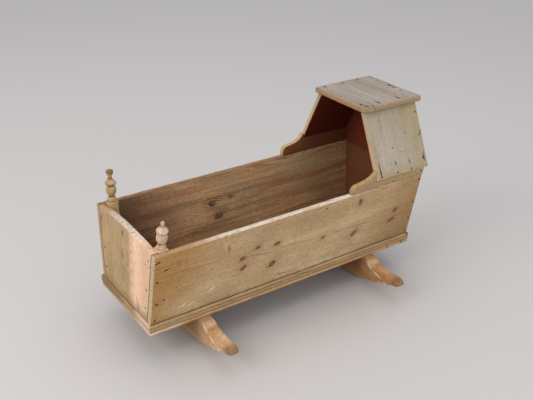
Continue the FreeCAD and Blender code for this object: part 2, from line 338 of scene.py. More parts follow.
# shared effects: each vector is (along the grain, across it, depth), in metres
def makeGrain():
    group, start, end = newGroup("pineGrain", {
        "Vector": None, "Push": 0.0, "Ring Spacing": 0.007, "Waves": 0.02, "Seed": 0.0},
        ("Rings", "Fibre", "Tone", "Streaks", "Checks"))
    moved = seeded(group, start)
    slow = calc("SUBTRACT", cloud(moved, (1.6, 7.0, 5.0), 2.0, 0.45), 0.5)
    quick = calc("SUBTRACT", cloud(moved, (9.0, 40.0, 20.0)), 0.5)
    sideways = addNode(group, "ShaderNodeSeparateXYZ", {0: start["Vector"]}).outputs[1]
    waves = calc("ADD", times(times(slow, start["Waves"]), 6.0), times(quick, 0.0022))
    field = calc("ADD", calc("ADD", sideways, start["Push"]), waves)
    rings = calc("FRACT", calc(
        "ADD", calc("DIVIDE", field, start["Ring Spacing"]),
        times(cloud(moved, (1.2, 45.0, 20.0), 1.0), 1.6)))
    late = times(smooth(rings, 0.25, 0.86), smooth(rings, 1.0, 0.88))
    late = times(late, smooth(cloud(moved, (3.0, 22.0, 22.0)), 0.38, 0.62, 0.08, 1.0))
    splits = calc("SUBTRACT", calc("FRACT", calc("DIVIDE", field, 0.037)), 0.5)
    runs = cloud(moved, (7.0, 28.0, 10.0), 1.0, offset=(3.0, 1.0, 0.0))
    checks = times(smooth(calc("ABSOLUTE", splits), 0.026, 0.006), smooth(runs, 0.52, 0.60))
    return giveOut(
        group, end, Rings=late, Checks=checks,
        Fibre=cloud(moved, (14.0, 700.0, 350.0), 3.0, 0.65),
        Tone=cloud(moved, (2.6, 9.0, 9.0), 4.0, 0.6),
        Streaks=cloud(moved, (3.5, 75.0, 40.0), 2.0, 0.55))


def makeKnot():
    group, start, end = newGroup("knot", {
        "Vector": None, "Push": 0.0, "Core": 0.0, "Halo": 0.0, "Centre": None,
        "Size": (0.01, 0.008, 1.0), "Turn": None}, ("Push", "Core", "Halo"))
    flat, far = roundSpot(group, start)
    reach = vectors("LENGTH", vectors("MULTIPLY", flat, (0.42, 0.6, 0.0)))
    fall = calc("EXPONENT", times(times(reach, reach), -1.0))
    offset = vectors("SUBTRACT", start["Vector"], start["Centre"])
    rise = addNode(group, "ShaderNodeSeparateXYZ", {0: offset}).outputs[1]
    core = times(smooth(far, 1.15, 0.70), smooth(far, 0.30, 0.70, 0.62, 1.0))
    halo = calc("EXPONENT", times(times(far, far), -0.26))
    halo = times(halo, timesPlus(calc("SINE", times(far, 9.5)), 0.24, 0.76))
    return giveOut(
        group, end, Push=calc("ADD", start["Push"], times(times(rise, fall), -1.0)),
        Core=calc("MAXIMUM", start["Core"], core), Halo=calc("MAXIMUM", start["Halo"], halo))


def makeMark():
    group, start, end = newGroup("mark", {
        "Vector": None, "Mask": 0.0, "Centre": None, "Size": (0.003, 0.003, 1.0),
        "Turn": None, "Strength": 1.0}, ("Mask",))
    far = roundSpot(group, start)[1]
    spot = times(smooth(far, 1.25, 0.35), start["Strength"])
    return giveOut(group, end, Mask=calc("MAXIMUM", start["Mask"], spot))


def makeBand():
    group, start, end = newGroup("band", {
        "Vector": None, "Direction": (0.0, 1.0, 0.0), "From": 0.0, "To": 0.01,
        "Ragged": 0.004, "Grain": 60.0}, ("Mask",))
    along = vectors("DOT_PRODUCT", start["Vector"], start["Direction"])
    uneven = calc("SUBTRACT", noise(start["Vector"], start["Grain"], 4.0, 0.6), 0.5)
    edge = calc("ADD", along, times(uneven, start["Ragged"]))
    return giveOut(group, end, Mask=smooth(edge, start["From"], start["To"]))


def makePatina():  # blotches, pinholes and rubbed flecks that old stripped pine has
    group, start, end = newGroup("oldPatina", {"Vector": None, "Seed": 0.0}, (
        "Blotches", "Pinholes", "Rubbed", "Mottle"))
    moved = seeded(group, start)
    cells = addNode(group, "ShaderNodeTexVoronoi", {
        "Vector": stretch(moved, (95.0, 130.0, 90.0)), "Scale": 1.0}).outputs
    chance = addNode(group, "ShaderNodeSeparateColor", {0: cells["Color"]}).outputs[0]
    scratch = smooth(cloud(moved, (60.0, 190.0, 120.0), 3.0, 0.7), 0.55, 0.68)
    broad = smooth(cloud(moved, (11.0, 18.0, 12.0), offset=(5.0, 2.0, 1.0)), 0.5, 0.66)
    return giveOut(
        group, end, Blotches=cloud(moved, (9.0, 15.0, 12.0), 4.0, 0.62),
        Pinholes=times(smooth(cells["Distance"], 0.24, 0.10), smooth(chance, 0.80, 0.86)),
        Rubbed=times(scratch, broad), Mottle=cloud(moved, (90.0, 150.0, 120.0), 3.0, 0.6))


effects = {
    "grain": makeGrain(), "knot": makeKnot(), "mark": makeMark(), "band": makeBand(),
    "patina": makePatina()}
print("shared wood effects made")

# What a board's look says unless its own dictionary says otherwise. Lengths are in
# millimetres and turns in degrees. A knot or mark is (along, across, half length, half
# width, turn, strength). A zone is (label, direction, start, end, raggedness, colour, share).
usualLook = {
    "origin": (0, 0, 0), "turn": (0, 0, 0), "rings": 7, "waves": 20, "seed": 0.0, "rough": 0.62,
    "knots": (), "zones": (), "marks": (), "blotchShare": 0.5, "streakShare": 0.3,
    "rubbed": "deccba", "rubbedShare": 0.4, "rimSpecks": 0.3, "ringShare": 0.3, "figure": 1.2,
    "fibre": (0.62, 0.52, 0.42, 1), "fibreShare": 0.22, "mottle": (0.60, 0.51, 0.42, 1),
    "mottleShare": 0.3, "pinhole": (0.10, 0.055, 0.03, 1), "pinholeShare": 0.6,
    "check": (0.12, 0.07, 0.04, 1), "checkShare": 0.6, "halo": "985c36", "haloShare": 0.5,
    "core": "623422", "coreShare": 0.85}


def newMaterial(name):
    material = bpy.data.materials.new(name)
    material.use_nodes = True
    return material, material.node_tree


def dress(tree, colour, roughness, height, strength, distance):
    shader = tree.nodes["Principled BSDF"]
    normal = addNode(tree, "ShaderNodeBump", {
        "Height": height, "Strength": strength, "Distance": distance}).outputs[0]
    for label, value in (("Base Color", colour), ("Roughness", roughness), ("Normal", normal)):
        tree.links.new(value, shader.inputs[label])
    return shader


def woodMaterial(name, look):
    look = {**usualLook, "blotch": look["deep"], "streak": look["deep"], **look}
    material, tree = newMaterial(name)

    def effect(kind, **inputs):
        labels = {label.replace("_", " "): value for label, value in inputs.items()}
        return addNode(tree, "ShaderNodeGroup", labels, node_tree=effects[kind]).outputs

    def spotAt(x, y, long, wide, angle=0, strength=None):
        spot = {"Vector": shaken, "Centre": (x / 1000, y / 1000, 0),
                "Size": (long / 1000, wide / 1000, 1), "Turn": (0, 0, math.radians(angle))}
        return spot if strength is None else dict(spot, Strength=strength)

    def lay(colour, mask, part, mode="MIX"):  # one part of the look, at its share
        return mixColour(times(mask, look[part + "Share"]), colour, tint(look[part]), mode)

    vector = addNode(
        tree, "ShaderNodeMapping",
        {
            "Vector": addNode(tree, "ShaderNodeTexCoord").outputs["Object"],
            "Location": look["origin"], "Rotation": [math.radians(a) for a in look["turn"]]},
        vector_type="TEXTURE").outputs[0]
    shake = vectors("SUBTRACT", noise(vector, 70.0, 3.0, 0.6, "Color"), (0.5, 0.5, 0.5))
    shaken = vectors("ADD", vector, vectors("MULTIPLY", shake, (0.0065, 0.0065, 0.0065)))
    push, core, halo = 0.0, 0.0, 0.0
    for knot in look["knots"]:
        push, core, halo = effect("knot", Push=push, Core=core, Halo=halo, **spotAt(*knot))
    grain = effect(
        "grain", Vector=vector, Push=push, Ring_Spacing=look["rings"] / 1000,
        Waves=look["waves"] / 1000, Seed=look["seed"])
    patina = effect("patina", Vector=vector, Seed=look["seed"])
    colour = mixColour(smooth(grain["Tone"], 0.36, 0.64), tint(look["pale"]), tint(look["deep"]))
    colour = lay(colour, smooth(patina["Blotches"], 0.42, 0.66), "blotch")
    colour = lay(colour, smooth(grain["Streaks"], 0.4, 0.66), "streak")
    colour = lay(colour, patina["Rubbed"], "rubbed")
    for label, direction, low, high, ragged, shade, amount in look["zones"]:
        mask = effect("band", Vector=vector, Direction=direction, From=low / 1000,
                      To=high / 1000, Ragged=ragged / 1000)[0]
        colour = mixColour(times(mask, amount), colour, tint(shade))
        if label == "rim":  # pale rims are worn bare edges with a painted highlight; the bare wood picks up dark specks
            specks = smooth(patina["Mottle"], 0.50, 0.64, 0.0, look["rimSpecks"])
            colour = mixColour(times(specks, mask), colour, tint("84705c"))
    ringShare = times(grain["Rings"], look["ringShare"])
    if look["knots"]:  # the figure shows most where it runs round the knots
        ringShare = times(ringShare, timesPlus(halo, look["figure"], 1.0), clamp=True)
    colour = mixColour(ringShare, colour, tint(look["ring"]), "MULTIPLY")
    fibre = smooth(grain["Fibre"], 0.3, 0.75)
    colour = lay(colour, fibre, "fibre", "MULTIPLY")
    colour = lay(colour, smooth(patina["Mottle"], 0.42, 0.68), "mottle", "MULTIPLY")
    colour = lay(colour, patina["Pinholes"], "pinhole")
    colour = lay(colour, grain["Checks"], "check")
    height = calc("SUBTRACT", times(calc("ADD", grain["Rings"], fibre), -0.4), grain["Checks"])
    if look["knots"]:
        colour = lay(lay(colour, halo, "halo"), core, "core")
    for label, shade, spots in look["marks"]:
        mask = 0.0
        for spot in spots:
            mask = effect("mark", Mask=mask, **spotAt(*spot))[0]
        colour = mixColour(mask, colour, tint(shade))
    roughness = smooth(grain["Tone"], 0.25, 0.75, look["rough"], look["rough"] + 0.16)
    shader = dress(tree, colour, roughness, height, 0.6, 0.0006)
    shader.inputs["Specular IOR Level"].default_value = 0.25
    return material


def tint(code):  # a screen colour such as "d4bc96" as the linear values sockets take
    if not isinstance(code, str):
        return code  # already linear

    def linear(c):
        return c / 12.92 if c <= 0.04045 else ((c + 0.055) / 1.055) ** 2.4

    return tuple(linear(int(code[i:i + 2], 16) / 255) for i in (0, 2, 4)) + (1.0,)


along, across, depth = (1, 0, 0), (0, 1, 0), (0, 0, 1)  # a board's own directions
darkIron = "34221a"
rustBrown = "7e4a24"

looks = {}
looks["nearSide"] = {
    "origin": (xMiddle, -sideOut(zFloor), zFloor), "turn": (90 + slopes["flareDegrees"], 0, 0),
    "pale": "d4bc96", "deep": "c2a378", "ring": "ceac82", "rings": 7.5, "waves": 22, "seed": 3.1,
    "blotch": "b29a72", "streak": "be9a6a", "haloShare": 0.62, "figure": 3.0, "blotchShare": 0.7,
    "mottleShare": 0.42, "ringShare": 0.34, "rubbedShare": 0.5, "rimSpecks": 0.12,
    "core": "502a1c",
    "knots": [
        (-179, 140, 9, 6.2, 12), (-174, 108, 12, 6.8, 30), (-131, 162, 7, 4.5, 0),
        (-77, 86, 13, 7.5, 38), (-66, 153, 10.5, 6, 5), (98, 119, 5.5, 4.5, 0),
        (218, 92, 13, 7, 34), (224, 203, 6, 11, 0), (377, 130, 9.5, 6.5, 22),
        (369, 96, 12.5, 5.6, 22)],
    "zones": [
        ("inside", depth, -13.5, -15.5, 1, "ac845c", 1.0),
        # pale rim along the top: worn bare edge and a painted highlight
        ("rim", across, 232.8, 236.2, 2, "ece0d4", 0.85),
        ("yellowed", (-1, 0.6, 0), 340, 500, 80, "b68a4e", 0.85),
        ("brown shade", (1, -0.8, 0), 100, 420, 120, "9a784c", 0.8),
        # darker towards the bottom, just above the moulding
        ("darker towards the bottom", across, 30, 19.5, 20, "785c3a", 0.5),
        (
            "foot end", (-1, lean * math.cos(flareAngle), 0), 1000 * (xMiddle - footLow.x) - 2.2,
            1000 * (xMiddle - footLow.x) - 1, 1, "cebe9e", 0.8)],
    "marks": [
        ("rust streak", "96542c", [(-225, 191, 3.5, 16, 4, 0.9), (-373, 196, 7, 11, 10, 0.4)]),
        ("long split", "76543a", [
            (-130, 137, 62, 1.2, -12, 0.8), (10, 128, 90, 1, -4, 0.7),
            (200, 120, 110, 1.1, -2, 0.7)]),
        ("pale scuffs", "ecdecc", [
            (-355, 52, 20, 2.2, 18, 0.7), (-330, 48, 16, 2, 24, 0.7),
            (-270, 72, 12, 6, 30, 0.5)]),
        ("dark holes", darkIron, [
            (-433, 217, 9, 3, 14, 1), (-409, 188, 10, 2.6, 16, 1), (-435, 155, 3.5, 3, 0, 0.7),
            (-433, 84, 6, 2.6, 0, 0.9), (-377, 119, 2.4, 2.4, 0, 0.8), (-274, 140, 4, 3, 0, 0.7),
            (96, 219, 6, 2.8, 20, 0.95), (93, 194, 6, 3, 0, 0.4), (433, 125, 3, 3, 0, 0.8),
            (444, 78, 4, 3.5, 0, 0.9), (448, 146, 3, 2.8, 0, 0.7), (459, 217, 3, 3, 0, 0.8)])]}
looks["farSide"] = {
    "origin": (xMiddle, sideOut(zFloor), zFloor), "turn": (90 - slopes["flareDegrees"], 0, 0),
    "pale": "eac69a", "deep": "cea87c", "ring": "b07442", "rings": 5.2, "waves": 30, "seed": 7.7,
    "ringShare": 0.62, "figure": 5.0, "blotch": "beac82", "blotchShare": 0.8, "streak": "925e3c",
    "streakShare": 0.45, "rubbedShare": 0.3, "mottleShare": 0.5,
    "knots": [
        (-87, 144, 14, 11, 0), (-67, 99, 15, 10, 10), (-20, 150, 6, 4, 0), (-300, 70, 7, 5, 0)],
    "halo": "80684e", "core": "544c48", "haloShare": 0.5, "coreShare": 0.8,
    "zones": [
        # painted shade: the inside face darkens towards its corner with the foot board
        ("dark corner", along, -140, -390, 80, "5c3e2a", 0.85),
        ("outside", depth, 16, 14, 1, "c4a67e", 1.0),
        ("worn brown edge", across, 231.5, 234.5, 2, "927050", 0.9),
        # pale outer arris: worn bare edge and a painted highlight
        ("rim", (0, 1, -0.7), 231.8, 233.8, 2, "e4d6c6", 0.8)],
    "marks": [("nail holes", darkIron, [
        (-433, 217, 4, 3, 0, 0.9), (-435, 155, 3, 3, 0, 0.7), (444, 78, 4, 3.5, 0, 0.9)])]}
looks["foot"] = {
    "origin": (footLow.x, 0, zFloor), "turn": (0, -(90 - slopes["leanDegrees"]), 0),
    "pale": "c4a882", "deep": "b0946a", "ring": "ceb08a", "rings": 10, "waves": 20, "seed": 12.4,
    "rough": 0.6, "blotch": "a0865c", "ringShare": 0.2, "pinholeShare": 0.8, "rimSpecks": 0.75,
    "knots": [(220, 6, 7, 5, 0)],
    "zones": [
        ("inside", depth, -8, -13, 2, "aa825c", 1.0),
        ("rosy strip", across, -12, -70, 60, "ffd6ba", 0.95),
        ("tan corner", across, -75, -125, 40, "d8b68e", 0.7),
        ("dirty foot", along, 60, 12, 50, "a6865e", 0.65),
        ("far edge", across, 150, 176, 10, "60442c", 0.6),
        (
            "joint dirt", (-flare * math.cos(leanAngle), -1, 0), 1000 * sideIn(zFloor) - 3.4,
            1000 * sideIn(zFloor) - 1.6, 3, "5c442c", 0.8),
        # pale rim along the top: worn bare edge and a painted highlight
        ("rim", along, 239.5, 246.2, 3, "e2d4c4", 0.8),
        # darker towards the bottom, just above the moulding
        ("darker towards the bottom", along, 50, 18, 30, "96764e", 0.5)],
    "marks": [
        ("rust streaks", rustBrown, [
            (190, 145, 22, 3, 4, 0.8), (157, 10, 14, 3, 3, 0.8), (155, 17, 8, 2, 3, 0.5),
            (150, 6, 13, 9, 0, 0.35), (50, -78, 20, 8, 20, 0.35)]),
        ("dark holes", darkIron, [
            (208, 143, 8, 3), (169, 9, 5, 2.8, 0, 0.9), (33, -81, 8, 3.5, 30, 0.95),
            (16, -80, 4, 3, 0, 0.9), (192, -126, 5, 2.2, 0, 0.85), (186, -135, 4, 2, 0, 0.7),
            (196, -150, 4, 2, 0, 0.8), (60, 120, 4, 3, 0, 0.8), (118, -132, 3, 3, 0, 0.6),
            (235, 70, 3, 2.5, 0, 0.7)])]}
looks["headLower"] = {
    "origin": (headOut(zFloor), 0, zFloor), "turn": (90 + slopes["leanDegrees"], 0, 90),
    "pale": "be9e74", "deep": "a4805a", "ring": "be966c", "seed": 21.3,
    "knots": [(60, 90, 11, 8, 0), (-80, 310, 9, 7, 20), (-30, 170, 6, 5, 0)],
    "zones": [("inside", depth, -8, -13, 2, "764830", 1.0)]}
looks["headUpper"] = dict(looks["headLower"], seed=26.8, zones=[(
    "inside", (0, 0, 1), -8, -13, 2, "72321d", 1.0)])
panelLook = {
    "pale": "beb2a5", "deep": "ab9e8b", "ring": "c0b296", "rings": 14, "waves": 12,
    "ringShare": 0.12, "fibreShare": 0.3, "rough": 0.7, "fibre": (0.66, 0.62, 0.54, 1),
    "streak": "ac9c76", "streakShare": 0.42, "blotch": "b2a488", "rubbed": "e8e2d8",
    "mottleShare": 0.25}
panelMarks = [
    ("rust streaks", "604834", [
        (34, 286.5, 19, 2.6, 3, 0.9), (35, 349, 10, 2.4, 0, 0.6), (34, 461.5, 18, 2.6, 2, 0.9)]),
    ("dark holes", "2e2622", [
        (20, 287, 13, 3, 3, 1), (36, 349, 6, 3, 0, 0.9), (30, 402, 7, 2.2, 0, 0.85),
        (30, 461.5, 11, 3, 2, 1), (107, 470, 9, 3, 0, 0.8), (115, 411, 3, 3, 0, 0.6),
        (95, 440, 3, 2.5, 0, 0.5), (82, 349, 3.4, 3, 0, 0.7), (65, 380, 3, 2.6, 0, 0.5),
        (168, 322, 3.4, 3, 0, 0.5)])]
maroon = "662617"
for side, sign, turn, seed, marks in (
        ("right", 1, (180, slopes["tiltDegrees"] - 90, 90), 31.5, panelMarks),
        ("left", -1, (0, slopes["tiltDegrees"] - 90, -90), 37.2, [])):
    looks[side + "Panel"] = dict(
        panelLook, origin=(xMiddle, sign * panelLow.y, zHood), turn=turn, seed=seed, marks=marks,
        zones=[("low stain", along, 35, 0, 30, "b09a6e", 0.6),
               ("front edge", across, 274.5, 271.2, 1, "d6b286", 0.9),
               ("inside", depth, sign * 12.2, sign * 13.8, 1, maroon, 1.0)])
looks["rightPanel"]["zones"].insert(
    0, ("green shade", (0.6, 1, 0), 440, 560, 120, "b0a074", 0.65))
looks["roof"] = {
    "origin": (xMiddle, 0, zRoof), "turn": (0, 0, 90), "pale": "b4a99e", "deep": "a09486",
    "ring": "b0a08a", "rings": 11, "waves": 14, "seed": 44.0, "fibreShare": 0.4, "rough": 0.7,
    "ringShare": 0.2, "streak": "968c82", "streakShare": 0.4, "blotchShare": 0.3,
    "fibre": (0.62, 0.57, 0.5, 1),
    "zones": [
        ("underneath", depth, 7, 2.5, 1, "682e1e", 1.0),
        ("round edge front", across, -274, -269.5, 2, "b08e6a", 0.9),
        ("near end", along, -120.5, -123.5, 2, "968062", 0.9),
        ("worn near edge", along, -109, -116.5, 8, "ac9470", 0.8)],
    "marks": [
        ("cracks", "605042", [
            (0, -371, 45, 1.3, 2, 0.8), (-60, -379, 22, 1.2, -14, 0.75),
            (30, -330, 30, 1, 1, 0.5), (-45, -345, 30, 1, 2, 0.45)]),
        ("dark holes", "2c201c", [
            (100, -294, 8, 4), (97, -363, 6, 3.4, 0, 0.9), (105, -426, 7, 3.6, 0, 0.9),
            (3, -473, 13, 4), (-17, -470, 9, 4), (-92, -413, 11, 4, 4, 1),
            (-94, -335, 13, 4, 3, 1), (-84, -280, 11, 4, -8, 1), (-104, -284, 11, 4.2, 10, 1),
            (-110, -300, 8, 4, 0, 0.7)])]}
looks["rightCheek"] = {
    "origin": (xMiddle, -sideOut(zFloor), zFloor), "turn": (90 + slopes["flareDegrees"], 0, 0),
    "pale": "cab084", "deep": "b2966a", "ring": "ccac82", "seed": 51.0, "rubbedShare": 0.6,
    "zones": [("inside", depth, -13.5, -15.5, 1, "703a26", 1.0), (
        "joint dirt", (0, 1, 0), 239.5, 236.5, 2, "543c28", 0.8)],
    "marks": [("nails", darkIron, [(345, 240.5, 8, 2, 6, 0.9)])]}
looks["leftCheek"] = dict(
    looks["rightCheek"], origin=(xMiddle, sideOut(zFloor), zFloor),
    turn=(90 - slopes["flareDegrees"], 0, 0), seed=57.0,
    zones=[("inside", depth, 13.5, 15.5, 1, "7e4c30", 1.0)])
looks["base"] = {
    "origin": (xMiddle, 0, baseLow.z), "pale": "d6b284", "deep": "bc986a", "ring": "c8a074",
    "seed": 61.0, "fibreShare": 0.4, "rubbedShare": 0.8, "pinholeShare": 0.9,
    "knots": [(-210, 50, 12, 8, 10), (160, -60, 10, 7, 0)],
    "zones": [
        ("worn foot corner", (-1, -1, 0), 500, 555, 30, "f0d6be", 0.8),
        ("grimy foot end", (-1, 0.6, 0), 475, 520, 30, "8a704a", 0.6),
        ("bed", depth, 9.5, 11.5, 1, "96704c", 0.9),
        ("underside", depth, 3, 0.8, 1, "78583c", 0.9)],
    "marks": [("worm holes", darkIron, [
        (430, -152.5, 3, 3, 0, 0.9), (370, -152.5, 2, 2, 0, 0.9), (-462, -20, 3, 2, 0, 0.8),
        (-462, -62, 3, 2.5, 0, 0.8), (-462, -81, 3, 1.8, 0, 0.8), (-462, -118, 3, 2.2, 0, 0.8),
        (-462, 46, 3, 4, 0, 0.8), (-462, 112, 3, 3, 0, 0.8)])]}
mouldingLook = {
    "origin": (xMiddle, 0, zFloor), "turn": (90, 0, 0), "seed": 67.0, "pale": "ceb084",
    "deep": "b09268", "ring": "c8a478", "fibreShare": 0.45,
    # painted shade and dirt: a dark line along the middle of the moulding where its groove is,
    # and a dark spot near one end
    "marks": [("painted groove shade and dirt", "483220", [
        (0, 10.5, 2000, 1.3, 0, 0.72), (452, 18, 10, 4, 20, 0.8)])]}
# dark brown for dirt, and for the painted shadow line where each moulding meets its wall
grimeAndShade = "422e1e"
belowGrime = ("grime below", across, 1.6, 0.4, 0.6, grimeAndShade, 0.85)
for side, way, turn, wall in (("right", 1, (90, 0, 0), sideOut(zMoulding)),
                              ("left", -1, (90, 0, 0), sideOut(zMoulding)),
                              ("head", 1, (90, 0, 90), headOut(zMoulding) - xMiddle),
                              ("foot", -1, (90, 0, 90), xMiddle - footOut(zMoulding))):
    # a dark line along the bottom of each moulding, and a painted shadow line with dirt along its
    # top against the wall
    looks[side + "Moulding"] = dict(mouldingLook, turn=turn, zones=[belowGrime, (
        "grime at the wall", (0, -0.6, way), 1000 * wall - 9, 1000 * wall - 10.4, 0.5, grimeAndShade,
        0.95)])
looks["footMoulding"]["zones"] += [("grimy end", along, -20, 40, 30, "846c46", 0.6), (
    "worn end", (1, 0, 0), -50, -100, 30, "ecd0b6", 0.75)]
postLook = {
    "turn": (0, -90, 0), "pale": "d4bc8c", "deep": "b49664", "ring": "c8a678", "rings": 6,
    "seed": 75.0, "rough": 0.42, "rubbed": "e2d2b0", "rubbedShare": 0.6, "mottleShare": 0.5,
    "zones": [("worn button", along, 71, 84, 8, "84623a", 0.8)],
    # painted shade and dirt: dark bands in the turned grooves of the finial
    "marks": [("painted groove shade and dirt", "402c1a", [
        (43, 0, 2, 50, 0, 0.75), (12.7, 0, 2.6, 50, 0, 0.7), (63.5, 0, 3.4, 50, 0, 0.6),
        (0, 0, 2, 50, 0, 0.4)])]}
pinkPostLook = dict(postLook, pale="e0c2a4", deep="cea884", seed=79.0, zones=[(
    "rubbed", (1, 0, 0), 20, 50, 30, "eaceb6", 0.6)])
rockerLook = {
    "turn": (90, 0, 90), "pale": "ecc294", "deep": "ce9c6c", "ring": "ce9e6e", "rings": 11,
    "waves": 30, "seed": 83.0, "rough": 0.55, "ringShare": 0.3, "blotch": "ba8654",
    "blotchShare": 0.8, "mottleShare": 0.5, "pinholeShare": 0.9,
    "zones": [
        ("toe near", along, -248, -300, 70, "7c603e", 0.8),
        ("toe far", along, 248, 300, 70, "7c603e", 0.8),
        ("under", across, 10, 0, 12, "785c40", 0.5)],
    "marks": [
        # painted shade: the rocker darkens under the base board
        ("painted shade under the base", "6e4a2c", [(0, 66, 188, 55, 0, 0.75)]),
        # painted highlights along the hewn ridge, from the shoulders to the toes
        ("painted highlights on the hewn ridge", "fce2c0", [
            (-214, 62, 22, 5, 14, 0.7), (-250, 50, 12, 4, 8, 0.6), (-236, 36, 18, 4, 24, 0.5),
            (-180, 78, 18, 10, 40, 0.7), (214, 62, 22, 5, -14, 0.7),
            (180, 78, 18, 10, -40, 0.7)]),
        ("worn dark", "604226", [
            (-274, 50, 10, 3, 10, 0.6), (-262, 34, 12, 3, 20, 0.5), (-226, 48, 12, 2, 20, 0.5),
            (-292, 40, 5, 4, 0, 0.5)])]}
squareTop = {
    side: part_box("corner_post_" + side)[1].z - high / math.hypot(1, lean, flare)
    for side, high in (("left", 0.0885), ("right", 0.0775))}
looks["leftPost"] = dict(postLook, origin=(-0.425, 0.135, squareTop["left"]))
looks["rightPost"] = dict(pinkPostLook, origin=(-0.425, -0.135, squareTop["right"]))
looks["footRocker"] = dict(
    rockerLook, origin=(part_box("rocker_foot")[0].x, 0, 0), pale="e8c298", deep="cca074")
looks["headRocker"] = dict(
    rockerLook, origin=(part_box("rocker_head")[0].x, 0, 0), seed=88.0, pale="e2b884",
    deep="b68654")
materials = {name: woodMaterial(name + "Pine", look) for name, look in looks.items()}


def ironMaterial():
    material, tree = newMaterial("rustedIron")
    vector = addNode(tree, "ShaderNodeTexCoord").outputs["Object"]
    patches = noise(vector, 260.0, 4.0, 0.65)
    colour = mixColour(smooth(patches, 0.38, 0.66), tint("2e221c"), tint("623820"))
    dress(tree, colour, smooth(patches, 0.3, 0.7, 0.55, 0.9), patches, 0.7, 0.0008)
    return material


materials["iron"] = ironMaterial()
print("materials made")


# walls and boards
def sideBoard(sign):
    def cornerAt(right, far, up):
        z = zRim if up else zFloor
        outer = (far == 1) == (sign > 0)
        y = sideOut(z) if outer else sideIn(z)
        return (headOut(z) if right else footOut(z), sign * y, z)

    piece = plate(cornerAt)
    ringCuts(x=110, z=14)
    return wear(piece, 0.0024, planed=0.0014)


def footBoard():
    arch = {"rise": 0.0105, "columns": 22}

    def cornerAt(inner, far, up):
        z = zRim if up else zFloor
        return ((footIn(z) if inner else footOut(z)), (1 if far else -1) * sideIn(z), z)

    piece = plate(cornerAt)
    ringCuts(y=arch["columns"])
    half = sideIn(zRim)
    for column in range(1, arch["columns"] + 1):
        y = -half + 2 * half * column / (arch["columns"] + 1)
        drag(lambda v: v.co.z > zRim - 0.001 and abs(v.co.y - y) < 0.002,
             (0, 0, arch["rise"] * (1 - (y / half) ** 2)))
    ringCuts(z=16)
    return wear(piece, 0.0026, planed=0.0014, knocks=0.0006)


def headBoards():
    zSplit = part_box("head_board_lower")[1].z
    shoulder = zHood + (hoodIn(zHood) - sideIn(zHood)) / (flare + math.tan(panelTilt))

    def corners(zLow, zHigh, halfHigh):
        def cornerAt(outer, far, up):
            z, half = (zHigh, halfHigh) if up else (zLow, sideIn(zLow))
            return (headOut(z) if outer else headIn(z), (1 if far else -1) * half, z)

        return cornerAt

    lower = plate(corners(zFloor, zSplit, sideIn(zSplit)))
    ringCuts(y=14, z=9)
    wear(lower, 0.0018, planed=0.0010, knocks=0.0004)
    upper = plate(corners(zSplit, zRoof, hoodIn(zRoof)))
    ringCuts(z=1)
    zCut = (zSplit + zRoof) / 2
    drag(lambda v: abs(v.co.z - zCut) < 0.001, ((shoulder - zCut) * lean, 0, shoulder - zCut))
    for sign in (1, -1):
        middle = (hoodIn(zRoof) + sideIn(zSplit)) / 2
        drag(lambda v: abs(v.co.z - shoulder) < 0.001 and v.co.y * sign > 0,
             (0, sign * (sideIn(shoulder) - middle), 0))
    ringCuts(y=12)
    wear(upper, 0.0018, planed=0.0010, knocks=0.0004)
    return lower, upper


def hoodPanel(sign):
    lowEdge = -panelLow.y - slopes["hoodThick"] * math.cos(panelTilt)

    def cornerAt(back, far, up):
        outer = (far == 1) == (sign > 0)
        z = zRoof if up else (zHood if outer else panelLow.z)
        front = panelLow.x + slopes["hoodSlant"] * (z - panelLow.z) / (zRoof - panelLow.z)
        y = slopes["hoodTopHalf"] if outer else hoodIn(zRoof)
        if not up:
            y = hoodOut(zHood) if outer else lowEdge
        length = panelHigh.x - panelLow.x - slopes["hoodSlant"]
        return (front + (length if back else 0), sign * y, z)

    piece = plate(cornerAt)
    ringCuts(x=26, z=26)
    return wear(piece, 0.0032, segments=4, planed=0.0013)


def hoodRoof():
    piece = newBox(roofLow, roofHigh)
    ringCuts(x=26, y=28)
    return wear(piece, 0.0055, segments=5, knocks=0.0006)


def cheek(sign):
    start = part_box("cheek_right")[0].x
    inner, high, tail = 0.150, 0.010, 0.043  # inner face and height at first, rise of the tail
    scroll = [  # (along, up) in millimetres
        (0, 11), (2, 16.5), (5.5, 21.8), (9.8, 24.8), (15, 26.5), (26, 28.3), (38, 29.5),
        (52, 33), (64, 37.5), (75, 45.5), (84, 56), (84.5, 43)]
    stations = [(run / 1000, rise / 1000) for run, rise in scroll]
    piece = newBox((start, inner, zRim), (headOut(zRim), inner + sideAcross, zRim + high))
    for run, _ in stations[1:]:
        sliceAt((start + run, 0, 0), (1, 0, 0))
    for run, rise in stations:
        drag(lambda v: abs(v.co.x - start - run) < 0.0001 and v.co.z > zRim + high / 2,
             (0, 0, rise - high))
    drag(lambda v: v.co.x > headOut(zRim) - 0.001 and v.co.z > zRim + high / 2,
         (tail * lean, 0, tail - high))
    levels = sorted({0.0, tail} | {rise for _, rise in stations})
    for rise in levels:  # lean each level out with the side below
        drag(lambda v: abs(v.co.z - zRim - rise) < 0.0001, (0, sideIn(zRim + rise) - inner, 0))
    if sign < 0:
        bpy.ops.mesh.select_all(action="SELECT")
        bpy.ops.transform.mirror(constraint_axis=(False, True, False), center_override=(0, 0, 0))
        bpy.ops.mesh.flip_normals()
    enter("OBJECT")

    def cutterCorner(back, far, up):
        outer = (far == 1) == (sign > 0)
        z = zRoof if up else zRim - 0.01
        front = panelLow.x + 0.0001
        return ((front + 0.3 if back else front), sign * (0.3 if outer else hoodIn(z)), z)

    cutter = plate(cutterCorner)
    enter("OBJECT")
    applyModifier(piece, "BOOLEAN", operation="DIFFERENCE", object=cutter, solver="EXACT")
    bpy.data.objects.remove(cutter)
    return wear(piece, 0.0016, planed=0.0, knocks=0.0)


